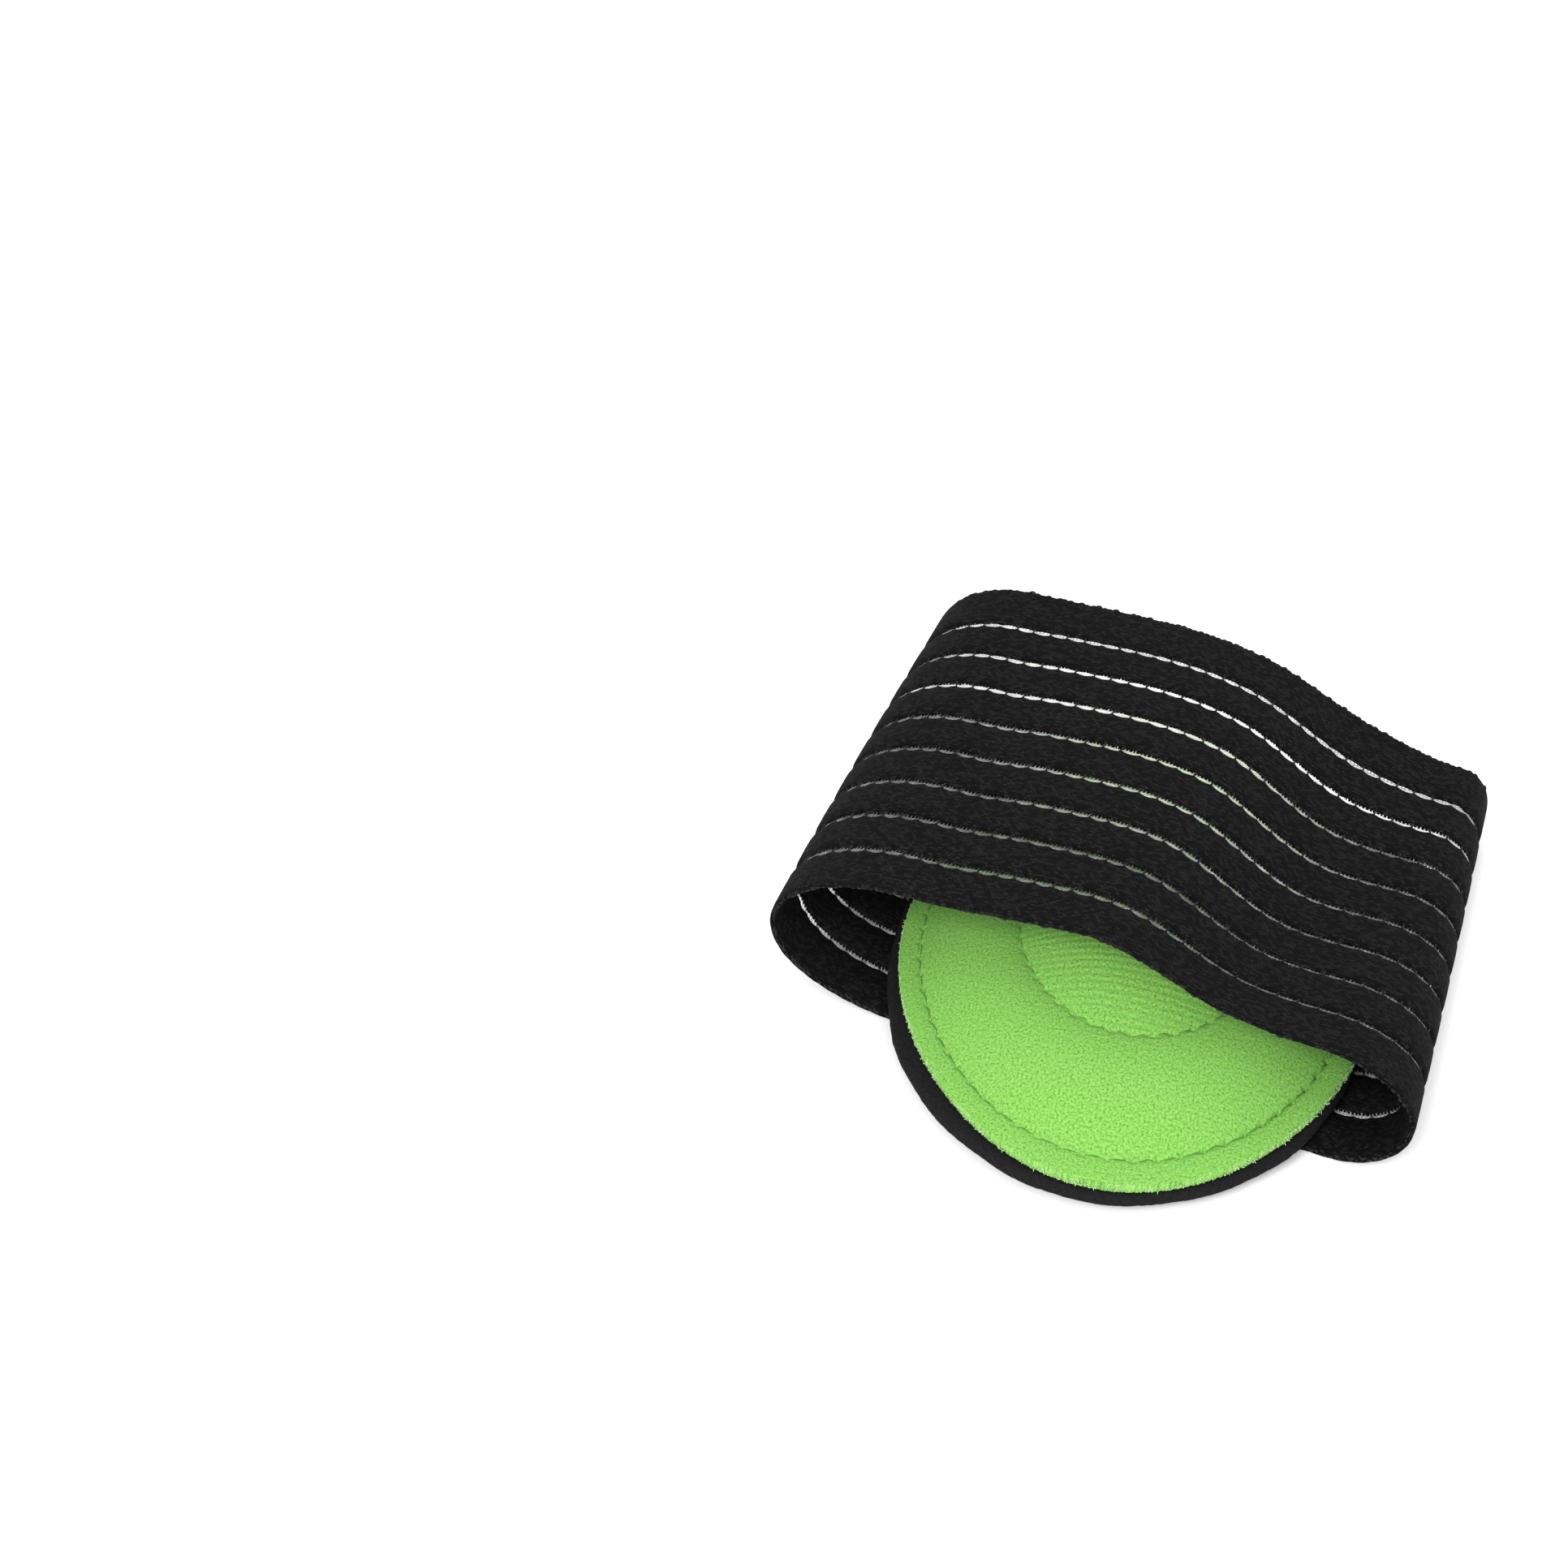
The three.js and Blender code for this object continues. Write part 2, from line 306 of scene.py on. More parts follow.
def slit_middle(surface, slit, column):
    """Middle of a slit in mm from the sleeve's front, at the given columns."""
    draw = np.interp(column, surface.columns, surface.slit_draw, period=SLEEVE_COLUMNS)
    return EDGE_RIB + slit * SLIT_PITCH + draw


def lobes(surface, phase):
    """Swells that repeat with the knit: 0 at a neck and 1 midway between two necks."""
    return np.abs(np.sin(math.pi * (surface.columns / COLUMNS_PER_REPEAT - phase))) ** LOBE_POWER


def rib_edges(surface, phases):
    """Front and back edge of each rib in mm from the sleeve's front, for every column."""
    edges = []
    front = surface.front_hem - EDGE_BUMP * lobes(surface, 0.0)
    for slit, phase in enumerate(phases):
        middle = slit_middle(surface, slit, surface.columns)
        swell = lobes(surface, phase)
        opening = surface.opening(slit)
        edges.append((front, middle - opening * (NECK_HALF + FRONT_LOBE * swell)))
        front = middle + opening * (NECK_HALF + BACK_LOBE * swell)
    edges.append((front, surface.back_hem + EDGE_BUMP * lobes(surface, 0.5)))
    return edges


def rib_rings(front, back, front_edge, back_edge):
    """Offset and depth of the lines that run round one rib, over its outside and back along its inside."""
    rings = [(front + inset, depth) for inset, depth in front_edge["outside"]]
    rings.append(((front + back) / 2, 0.0))
    rings += [(back - inset, depth) for inset, depth in reversed(back_edge["outside"])]
    rings += [(back - inset, SLEEVE_WALL - depth) for inset, depth in back_edge["inside"]]
    rings.append(((front + back) / 2, SLEEVE_WALL))
    rings += [(front + inset, SLEEVE_WALL - depth) for inset, depth in reversed(front_edge["inside"])]
    return rings


def make_ribs(surface, phases, material):
    """The ribs of the sleeve as closed loops of knit, with texture lengths along and across them."""
    points, faces, uv = [], [], []
    after = (surface.columns + 1) % SLEEVE_COLUMNS
    next_length = (surface.columns + 1) * surface.loop / SLEEVE_COLUMNS
    for rib, (front, back) in enumerate(rib_edges(surface, phases)):
        front_edge = HEM_EDGE if rib == 0 else SLIT_EDGE
        back_edge = HEM_EDGE if rib == SLIT_COUNT else SLIT_EDGE
        rings = rib_rings(front, back, front_edge, back_edge)
        first = len(points) * SLEEVE_COLUMNS
        for offset, depth in rings:
            points.append(surface.at(surface.columns, offset, depth))
        for k, (offset, _) in enumerate(rings):
            m = (k + 1) % len(rings)
            a, b = first + k * SLEEVE_COLUMNS, first + m * SLEEVE_COLUMNS
            faces.append(np.stack([a + surface.columns, a + after, b + after, b + surface.columns], axis=1))
            there = rings[m][0]
            uv.append(np.stack([
                np.stack([surface.lengths, offset], axis=1),
                np.stack([next_length, offset[after]], axis=1),
                np.stack([next_length, there[after]], axis=1),
                np.stack([surface.lengths, there], axis=1),
            ], axis=1).reshape(-1, 2))
    return mesh_object(
        "sleeve_ribs", np.concatenate(points), np.concatenate(faces).tolist(), material,
        np.concatenate(uv) * MM,
    )


def crossing_strands(surface, slit, column, steps, depths, lean, loose):
    """Paths of strands that cross a slit at the given columns, each leaning and sitting its own way."""
    count = len(column)
    tilt = rng.normal(lean, loose, (count, 1))
    place = column[:, None] + rng.normal(0, loose / 2, (count, 1)) + tilt * steps
    offset = slit_middle(surface, slit, column)[:, None] + steps
    return surface.at(place, offset, depths + rng.normal(0, DEPTH_SPREAD, (count, 1)))


def make_ladder_combs(surface, phases, material):
    """Clear filaments that cross every slit side by side."""
    steps = np.array([-1.1, -0.6, -0.1, 0.3, 0.7, 1.05])
    depths = np.array([0.82, 0.8, 0.76, 0.76, 0.78, 0.8])
    spacing = COLUMNS_PER_REPEAT / THREADS_PER_REPEAT
    paths = []
    for slit, phase in enumerate(phases):
        thread = np.arange(KNIT_REPEATS * THREADS_PER_REPEAT) + 0.5
        column = phase * COLUMNS_PER_REPEAT + thread * spacing
        paths.append(crossing_strands(surface, slit, column, steps, depths, 0.1, 0.18))
    points, faces = tubes(np.concatenate(paths), [COMB_RADIUS] * len(steps), 4, STRAND_UP)
    return mesh_object("ladder_combs", points, faces, material)


def make_ladder_cords(surface, phases, material):
    """A clear strand round every slit, looped forward at each lobe."""
    sides = 5
    angle = np.arange(sides) * TURN / sides
    points, faces = [], []
    for slit, phase in enumerate(phases):
        middle = slit_middle(surface, slit, surface.columns)
        swell = lobes(surface, phase)
        loose = np.convolve(rng.normal(0, CORD_WANDER, SLEEVE_COLUMNS), np.ones(3) / 3, "same")
        opening = surface.opening(slit)
        centre = middle - opening * (CORD_FORWARD[0] + CORD_FORWARD[1] * swell) + loose
        radius = opening * (CORD_RADIUS[0] + CORD_RADIUS[1] * swell)
        for turn in angle:
            depth = CORD_DEPTH + radius * math.sin(turn)
            points.append(surface.at(surface.columns, centre + radius * math.cos(turn), depth))
        faces.append(ring_faces(sides, SLEEVE_COLUMNS, slit * sides * SLEEVE_COLUMNS, close_rings=True))
    return mesh_object("ladder_cords", np.concatenate(points), np.concatenate(faces).tolist(), material)


def make_neck_ties(surface, phases, material):
    """Black yarns that cross the slits at most of their necks."""
    steps = np.array([-1.0, -0.5, 0.0, 0.5, 1.0])
    depths = np.array([0.75, 0.55, 0.5, 0.55, 0.75])
    paths = []
    for slit, phase in enumerate(phases):
        kept = rng.random(KNIT_REPEATS) < TIE_SHARE
        column = (np.arange(KNIT_REPEATS)[kept] + phase) * COLUMNS_PER_REPEAT
        paths.append(crossing_strands(surface, slit, column, steps, depths, 0.4, 0.5))
    points, faces = tubes(np.concatenate(paths), [TIE_RADIUS] * len(steps), 5, STRAND_UP)
    return mesh_object("neck_ties", points, faces, material)


def make_edge_loops(surface, material):
    """Small turns of yarn along the front and back hems, a larger one at each repeat of the knit."""
    steps = np.array([-1.0, -0.7, -0.35, 0.0, 0.35, 0.7, 1.0])
    rise = np.array([0.0, 0.45, 0.86, 1.0, 0.86, 0.45, 0.0])
    radii = [0.1, 0.14, 0.16, 0.17, 0.16, 0.14, 0.1]
    count = KNIT_REPEATS * LOOPS_PER_REPEAT
    paths = []
    hems = ((surface.front_hem, -1, 0.12, 0.65), (surface.back_hem, 1, 0.34, 0.3))
    for edge, sign, tall, deep in hems:
        large = np.arange(count) % LOOPS_PER_REPEAT == 0
        reach = np.where(large, tall, SMALL_LOOP) + rng.normal(0, 0.04, count)
        column = np.arange(count) * COLUMNS_PER_REPEAT / LOOPS_PER_REPEAT
        column = column + rng.normal(0, 0.3, count)
        place = column[:, None] + steps * COLUMNS_PER_REPEAT / LOOPS_PER_REPEAT * 0.8
        depth = deep + rng.normal(0, 0.1, (count, 1)) + 0.1 * steps
        out = rise * (LOOP_RISE + reach[:, None]) - LOOP_ROOT
        hem = np.interp(place, surface.columns, edge, period=SLEEVE_COLUMNS)
        path = surface.at(place, hem, depth)
        path[..., 1] += sign * out
        path[..., 2] = np.maximum(path[..., 2], LOOP_FLOOR)
        paths.append(path)
    points, faces = tubes(np.concatenate(paths), radii, 6, STRAND_UP)
    return mesh_object("edge_loops", points, faces, material)


# Cushion

# Grid of the cover, and the coarser, enlarged grid on which its cloth is simulated, with the most that any
# point may move in mm.
ROWS = 321
COLUMNS = 241
SIM_ROWS = 133
SIM_COLUMNS = 101
SIM_FRAMES = 20
SIM_SCALE = 10
MOVE_CAP = 1.2
# Seams: the inner one's oval, the pitch of the stitches, the widths of a seam's furrow and of its stitch
# holes, and their depths. The outer seam is sunk deeper towards the right.
INNER_OVAL = dict(shift=0.85, half_width=18.4, half_length=24.0)
OUTER_PITCH = 3.4
INNER_PITCH = 3.0
FURROW_WIDTH = 0.32
HOLE_WIDTH = 0.45
OUTER_DEPTH = 0.3
OUTER_DEPTH_RIGHT = 0.3
INNER_DEPTH = 0.26
# Rows of loops on the cover: their pitch, their relief, what the raised middle adds to it, and the relief
# of single loops. Then the number of loose fibres along the cut edge.
LOOP_ROW_PITCH = 1.15
ROW_RELIEF = 0.012
MIDDLE_RELIEF = 0.05
LOOP_RELIEF = 0.022
FIBRE_COUNT = 4200


def oval_points(oval, across, along, height):
    """Points of an oval piece from its own across and along lengths."""
    cos, sin = math.cos(oval["turn"]), math.sin(oval["turn"])
    u, v = across / oval["half_width"], along / oval["half_length"]
    drawn = 1 - oval["pinch"] * 4 * u * u * v * v / np.maximum(u * u + v * v, 1e-6)
    across, along = across * drawn, along * drawn
    x = oval["x"] + across * cos - along * sin
    y = oval["y"] + across * sin + along * cos
    return np.stack(np.broadcast_arrays(x, y, height), axis=-1)


def oval_grid(rows, columns):
    """Across and along lengths of a square grid that is rounded out to fill the cushion's oval."""
    v = np.linspace(-1, 1, rows)[:, None]
    u = np.linspace(-1, 1, columns)[None, :]
    across = CUSHION["half_width"] * u * np.sqrt(1 - v * v / 2)
    along = CUSHION["half_length"] * v * np.sqrt(1 - u * u / 2)
    return across, along


def oval_share(across, along, half_width, half_length, shift=0.0):
    """How far out from an oval's middle a place is, 1 on its line, and how fast that grows for each mm."""
    share = np.hypot((across - shift) / half_width, along / half_length)
    slope = np.hypot((across - shift) / half_width ** 2, along / half_length ** 2) / np.maximum(share, 0.05)
    return share, np.maximum(slope, 1e-6)


def seam_line(half_width, half_length, shift, pitch):
    """Stitch holes at an even pitch round an oval seam, as across and along lengths."""
    angle = np.linspace(0, TURN, 1441)
    line = np.stack([shift + half_width * np.cos(angle), half_length * np.sin(angle)], axis=1)
    length = np.concatenate([[0], np.cumsum(np.linalg.norm(np.diff(line, axis=0), axis=1))])
    count = round(length[-1] / pitch)
    place = np.arange(count) / count * length[-1]
    return np.stack([np.interp(place, length, line[:, k]) for k in (0, 1)], axis=1)


def bell(distance, width):
    """1 at no distance, fading out over a width."""
    return np.exp(-(distance / width) ** 2)


class Seams:
    """The two oval seams of the cover: their stitch holes, and how near a place is to a seam or a hole."""

    def __init__(self):
        half_width, half_length = CUSHION["half_width"], CUSHION["half_length"]
        self.outer = seam_line(OUTER_SEAM * half_width, OUTER_SEAM * half_length, 0.0, OUTER_PITCH)
        self.inner = seam_line(
            INNER_OVAL["half_width"], INNER_OVAL["half_length"], INNER_OVAL["shift"], INNER_PITCH
        )

    def hole_distance(self, across, along, holes):
        """Distance in mm to the nearest of some stitch holes."""
        nearest = np.full(across.shape, np.inf)
        for hole in holes:
            nearest = np.minimum(nearest, np.hypot(across - hole[0], along - hole[1]))
        return nearest

    def distances(self, across, along):
        """Distance in mm to the outer seam, the inner seam, and the stitch holes of each."""
        share, slope = oval_share(across, along, CUSHION["half_width"], CUSHION["half_length"])
        to_outer = (share - OUTER_SEAM) / slope
        share, slope = oval_share(across, along, **INNER_OVAL)
        to_inner = (share - 1) / slope
        return (
            to_outer, to_inner,
            self.hole_distance(across, along, self.outer), self.hole_distance(across, along, self.inner),
        )


def dome_height(across, along):
    """Height of the cover above its base, before it is stretched and sewn down."""
    share, _ = oval_share(across, along, CUSHION["half_width"], CUSHION["half_length"])
    places, heights = zip(*CUSHION_PROFILE)
    return smooth_line(places, heights, np.minimum(share, 1.0), (0, EDGE_SLOPE))


def grid_faces(rows, columns):
    """Quads between neighbouring points of a grid."""
    index = np.arange(rows * columns).reshape(rows, columns)
    quads = np.stack([index[:-1, :-1], index[:-1, 1:], index[1:, 1:], index[1:, :-1]], axis=-1)
    return quads.reshape(-1, 4)


def resample(field, rows, columns):
    """A grid of values read at more rows and columns."""
    for axis, count in ((0, rows), (1, columns)):
        place = np.linspace(0, field.shape[axis] - 1, count)
        low = np.minimum(place.astype(int), field.shape[axis] - 2)
        shape = [1] * field.ndim
        shape[axis] = count
        part = (place - low).reshape(shape)
        field = np.take(field, low, axis) * (1 - part) + np.take(field, low + 1, axis) * part
    return field


def soften(field, passes):
    """A grid of values averaged with its neighbours."""
    for _ in range(passes):
        for axis in (0, 1):
            inner = [slice(None)] * field.ndim
            before, after = list(inner), list(inner)
            inner[axis], before[axis], after[axis] = slice(1, -1), slice(None, -2), slice(2, None)
            mixed = field.copy()
            mixed[tuple(inner)] = (field[tuple(before)] + 2 * field[tuple(inner)] + field[tuple(after)]) / 4
            field = mixed
    return field


def pressed_cover(seams, material):
    """How the cover moves when foam presses it up between its seams: xyz in mm on the simulation grid."""
    across, along = oval_grid(SIM_ROWS, SIM_COLUMNS)
    start = oval_points(CUSHION, across, along, CUSHION_BASE + dome_height(across, along)).reshape(-1, 3)
    to_outer, to_inner, outer_hole, inner_hole = seams.distances(across, along)
    share, _ = oval_share(across, along, CUSHION["half_width"], CUSHION["half_length"])
    # The margin and the stitch holes are held fast, and the seams between the holes less so.
    held = np.maximum.reduce([
        (share > OUTER_SEAM + 0.01) * 1.0, bell(outer_hole, 0.8), bell(inner_hole, 0.8),
        0.85 * bell(to_outer, 0.7), 0.6 * bell(to_inner, 0.7),
    ]).ravel()
    faces = grid_faces(SIM_ROWS, SIM_COLUMNS).tolist()
    trial = mesh_object("cover_trial", start * SIM_SCALE, faces, material)
    group = trial.vertex_groups.new(name="held")
    for index, weight in enumerate(held):
        group.add([index], float(weight), "REPLACE")
    cloth = trial.modifiers.new("cloth", "CLOTH")
    cloth.settings.quality = 6
    cloth.settings.mass = 0.1
    cloth.settings.tension_stiffness = 12
    cloth.settings.compression_stiffness = 12
    cloth.settings.shear_stiffness = 4
    cloth.settings.bending_stiffness = 0.2
    cloth.settings.use_pressure = True
    cloth.settings.uniform_pressure_force = 6
    cloth.settings.vertex_group_mass = "held"
    cloth.settings.effector_weights.gravity = 0
    cloth.collision_settings.use_collision = False
    scene = bpy.context.scene
    for step in range(1, SIM_FRAMES + 1):
        scene.frame_set(step)
    settled = trial.evaluated_get(bpy.context.evaluated_depsgraph_get())
    end = np.empty(len(start) * 3)
    settled.data.vertices.foreach_get("co", end)
    scene.frame_set(1)
    bpy.data.objects.remove(trial)
    move = end.reshape(-1, 3) / (MM * SIM_SCALE) - start
    size = np.linalg.norm(move, axis=1, keepdims=True)
    move *= np.minimum(1, MOVE_CAP / np.maximum(size, 1e-6))
    return move.reshape(SIM_ROWS, SIM_COLUMNS, 3)


def knit_relief(across, along, to_inner):
    """Rows of knitted loops, plainest on the raised middle, with uneven loops between them, in mm."""
    middle = 1 / (1 + np.exp(to_inner / 0.6))
    sway = 0.5 * np.sin(across / 5.1 + 0.7) + 0.3 * np.sin(across / 2.3)
    rows = np.cos(TURN * (along + 0.25 * sway) / LOOP_ROW_PITCH)
    uneven = soften(rng.normal(0, 1, across.shape), 1)
    return (ROW_RELIEF + MIDDLE_RELIEF * middle) * rows + LOOP_RELIEF * uneven


def make_cushion(seams, material):
    """The cover with its seams and its cut edge, the grid of its top, and the line round that grid."""
    across, along = oval_grid(ROWS, COLUMNS)
    to_outer, to_inner, outer_hole, inner_hole = seams.distances(across, along)
    height = CUSHION_BASE + dome_height(across, along) + knit_relief(across, along, to_inner)
    outer_depth = OUTER_DEPTH + OUTER_DEPTH_RIGHT * np.clip(across / CUSHION["half_width"], 0, 1)
    for to_seam, to_hole, depth in (
        (to_outer, outer_hole, outer_depth), (to_inner, inner_hole, INNER_DEPTH),
    ):
        beside_hole = np.sqrt(np.maximum(to_hole ** 2 - to_seam ** 2, 0))
        height -= depth * bell(to_seam, FURROW_WIDTH) * (0.7 + 1.5 * bell(beside_hole, HOLE_WIDTH))
    top = oval_points(CUSHION, across, along, height)
    top = top + soften(resample(pressed_cover(seams, material), ROWS, COLUMNS), 2)
    index = np.arange(ROWS * COLUMNS).reshape(ROWS, COLUMNS)
    rim = np.concatenate([index[0, :-1], index[:-1, -1], index[-1, :0:-1], index[:0:-1, 0]])
    edge = top.reshape(-1, 3)[rim]
    outward = unit(edge - edge.mean(axis=0)) * [1, 1, 0]
    wall = []
    for out, level in ((0.08, 0.88), (0.1, 0.5), (0.02, 0.08), (-0.4, 0.0)):
        ring = edge + outward * (out + rng.normal(0, 0.05, (len(rim), 1)))
        ring[:, 2] = CUSHION_BASE + (edge[:, 2] - CUSHION_BASE) * level
        wall.append(ring)
    points = np.concatenate([top.reshape(-1, 3), *wall])
    count = len(rim)
    loops = [rim] + [ROWS * COLUMNS + k * count + np.arange(count) for k in range(len(wall))]
    faces = [grid_faces(ROWS, COLUMNS)]
    for upper, lower in zip(loops[:-1], loops[1:]):
        faces.append(np.stack([upper, lower, np.roll(lower, -1), np.roll(upper, -1)], axis=1))
    faces = np.concatenate(faces).tolist() + [loops[-1].tolist()]
    lengths = np.stack([across.ravel(), along.ravel()], axis=1)
    lengths = np.concatenate([lengths] + [lengths[rim]] * len(wall))
    corners = np.concatenate([np.asarray(face) for face in faces])
    piece = mesh_object("cushion_cover", points, faces, material, lengths[corners] * MM)
    return piece, top, edge


def make_seam_threads(seams, top, material):
    """Short stitches between the holes of both seams, dipping into the holes."""
    across, along = oval_grid(ROWS, COLUMNS)
    part = np.array([0.02, 0.15, 0.35, 0.65, 0.85, 0.98])
    lift = np.array([-0.35, -0.02, 0.06, 0.06, -0.02, -0.35])
    paths = []
    for holes, sunk in ((seams.outer, 0.03), (seams.inner, 0.09)):
        ahead = np.roll(holes, -1, axis=0)
        for near, far in zip(holes, ahead):
            place = near + (far - near) * part[:, None]
            path = []
            for (u, v), rise in zip(place, lift):
                nearest = np.argmin((across - u) ** 2 + (along - v) ** 2)
                path.append(top.reshape(-1, 3)[nearest] + [0, 0, rise - sunk])
            paths.append(path)
    radii = [0.08, 0.12, 0.13, 0.13, 0.12, 0.08]
    points, faces = tubes(np.array(paths), radii, 6, (0.03, 0.04, 1.0))
    return mesh_object("seam_threads", points, faces, material)


def make_edge_fuzz(edge, material):
    """Short loose fibres along the cushion's cut edge."""
    count = FIBRE_COUNT
    root = edge[rng.integers(0, len(edge), count)]
    outward = unit((root - edge.mean(axis=0)) * [1, 1, 0])
    root = root + outward * 0.1
    root[:, 2] = CUSHION_BASE + (root[:, 2] - CUSHION_BASE) * rng.uniform(0.15, 1.0, count)
    reach = rng.gamma(4.0, 0.038, (count, 1))
    heading = unit(outward + rng.normal(0, 0.6, (count, 3)) + [0, 0, 0.25])
    curl = rng.normal(0, 0.35, (count, 3))
    paths = np.stack([root, root + heading * reach * 0.5, root + (heading + curl) * reach], axis=1)
    points, faces = tubes(paths, [0.09, 0.075, 0.03], 4, STRAND_UP)
    return mesh_object("edge_fuzz", points, faces, material)


def make_backing(material):
    """Flat black layer with a rounded rim, drawn in at its right flank."""
    sides = 360
    angle = np.arange(sides) * TURN / sides
    top = BACKING_BASE + BACKING_THICKNESS
    wave = 0.12 * np.sin(7 * angle) + 0.09 * np.sin(17 * angle + 1) + rng.normal(0, 0.03, sides)
    rings = []
    for inset, height in (
        (-9.0, BACKING_BASE), (-1.0, BACKING_BASE), (-0.3, BACKING_BASE + 0.2), (0, BACKING_BASE + 0.7),
        (0, top - 0.7), (-0.3, top - 0.2), (-1.0, top), (-9.0, top),
    ):
        across = (BACKING["half_width"] + inset + wave) * np.cos(angle)
        across -= BACKING_RIGHT_DRAW * np.maximum(np.cos(angle), 0) ** 3
        along = (BACKING["half_length"] + inset + wave) * np.sin(angle)
        rings.append(oval_points(BACKING, across, along, height))
    faces = ring_faces(len(rings), sides)[:, ::-1].tolist()
    faces.append(np.arange(sides).tolist())
    faces.append(((len(rings) - 1) * sides + np.arange(sides))[::-1].tolist())
    return mesh_object("backing_layer", np.concatenate(rings), faces, material)


# Materials

class Look:
    """A node material: one shader, and the nodes that vary it."""

    def __init__(self, name, colour, roughness, specular=0.15, sheen=0.0):
        self.material = bpy.data.materials.new(name)
        self.material.use_nodes = True
        self.tree = self.material.node_tree
        self.shader = self.tree.nodes["Principled BSDF"]
        self.shader.inputs["Base Color"].default_value = (*colour, 1)
        self.shader.inputs["Roughness"].default_value = roughness
        self.shader.inputs["Specular IOR Level"].default_value = specular
        self.shader.inputs["Sheen Weight"].default_value = sheen

    def add(self, kind, links=None, values=None, **settings):
        """A node with some inputs linked to sockets, some set to values, and its settings."""
        node = self.tree.nodes.new(kind)
        for key, value in settings.items():
            setattr(node, key, value)
        for key, value in (values or {}).items():
            node.inputs[key].default_value = value
        for key, socket in (links or {}).items():
            self.tree.links.new(socket, node.inputs[key])
        return node

    def use(self, key, socket):
        """Link a socket to one of the shader's inputs."""
        self.tree.links.new(socket, self.shader.inputs[key])

    def lengths_mm(self, sway):
        """Texture lengths in mm, swayed a little so that rows of knit aren't ruled lines."""
        lengths = self.add("ShaderNodeUVMap", uv_map="lengths")
        scaled = self.add(
            "ShaderNodeMapping", {"Vector": lengths.outputs["UV"]}, {"Scale": (1000, 1000, 1000)}
        )
        noise = self.add(
            "ShaderNodeTexNoise", {"Vector": scaled.outputs["Vector"]}, {"Scale": 0.9, "Detail": 3}
        )
        centred = self.add(
            "ShaderNodeVectorMath", {0: noise.outputs["Color"]}, {1: (0.5, 0.5, 0.5)}, operation="SUBTRACT"
        )
        return self.add(
            "ShaderNodeVectorMath", {0: centred.outputs["Vector"], 2: scaled.outputs["Vector"]},
            {1: (sway, sway, 0)}, operation="MULTIPLY_ADD",
        ).outputs["Vector"]


def knit_look():
    """Black elastic knit: staggered stitches drawn out along the loop."""
    look = Look("elastic_knit", (0.014, 0.014, 0.015), 0.9, specular=0.06)
    place = look.lengths_mm(0.5)
    stitches = look.add(
        "ShaderNodeTexBrick", {"Vector": place},
        {
            "Color1": (0.004, 0.004, 0.0041, 1), "Color2": (0.0185, 0.0182, 0.0188, 1),
            "Mortar": (0.0008, 0.0008, 0.0009, 1), "Scale": 1.0, "Mortar Size": 0.08, "Mortar Smooth": 0.9,
            "Bias": -0.3, "Brick Width": 0.74, "Row Height": 0.4,
        },
    )
    look.use("Base Color", stitches.outputs["Color"])
    grain = look.add("ShaderNodeTexNoise", {"Vector": place}, {"Scale": 2.6, "Detail": 2})
    ridges = look.add(
        "ShaderNodeBump", {"Height": stitches.outputs["Fac"]}, {"Strength": 0.5, "Distance": 0.00012},
        invert=True,
    )
    bumps = look.add(
        "ShaderNodeBump", {"Height": grain.outputs["Fac"], "Normal": ridges.outputs["Normal"]},
        {"Strength": 0.4, "Distance": 0.0003},
    )
    look.use("Normal", bumps.outputs["Normal"])
    return look.material


def cover_look():
    """Green brushed loop knit: small even loops in rows with darker gaps, under a mottled pile."""
    look = Look("loop_cover", (0.2, 0.45, 0.09), 1.0, specular=0.05, sheen=0.04)
    place = look.lengths_mm(0.3)
    stretched = look.add("ShaderNodeMapping", {"Vector": place}, {"Scale": (2.1, 1.54, 1)})
    loops = look.add(
        "ShaderNodeTexVoronoi", {"Vector": stretched.outputs["Vector"]},
        {"Scale": 1.0, "Randomness": 0.65, "Smoothness": 0.5}, feature="SMOOTH_F1",
    )
    pile = look.add("ShaderNodeTexNoise", {"Vector": place}, {"Scale": 2.9, "Detail": 3, "Roughness": 0.7})
    shade = look.add("ShaderNodeValToRGB", {"Fac": pile.outputs["Fac"]})
    shade.color_ramp.elements[0].position = 0.32
    shade.color_ramp.elements[0].color = (0.065, 0.215, 0.025, 1)
    shade.color_ramp.elements[1].position = 0.58
    shade.color_ramp.elements[1].color = (0.218, 0.477, 0.096, 1)
    look.use("Base Color", shade.outputs["Color"])
    rounds = look.add(
        "ShaderNodeBump", {"Height": loops.outputs["Distance"]}, {"Strength": 0.25, "Distance": 0.0002},
        invert=True,
    )
    bumps = look.add(
        "ShaderNodeBump", {"Height": pile.outputs["Fac"], "Normal": rounds.outputs["Normal"]},
        {"Strength": 0.35, "Distance": 0.0002},
    )
    look.use("Normal", bumps.outputs["Normal"])
    return look.material


def backing_look():
    """Black brushed cloth."""
    look = Look("backing_cloth", (0.011, 0.011, 0.012), 0.95, specular=0.06)
    place = look.add("ShaderNodeTexCoord").outputs["Object"]
    pile = look.add("ShaderNodeTexNoise", {"Vector": place}, {"Scale": 2200, "Detail": 3})
    shade = look.add("ShaderNodeValToRGB", {"Fac": pile.outputs["Fac"]})
    shade.color_ramp.elements[0].color = (0.003, 0.003, 0.0033, 1)
    shade.color_ramp.elements[1].color = (0.017, 0.017, 0.018, 1)
    look.use("Base Color", shade.outputs["Color"])
    bumps = look.add(
        "ShaderNodeBump", {"Height": pile.outputs["Fac"]}, {"Strength": 0.5, "Distance": 0.0003}
    )
    look.use("Normal", bumps.outputs["Normal"])
    return look.material


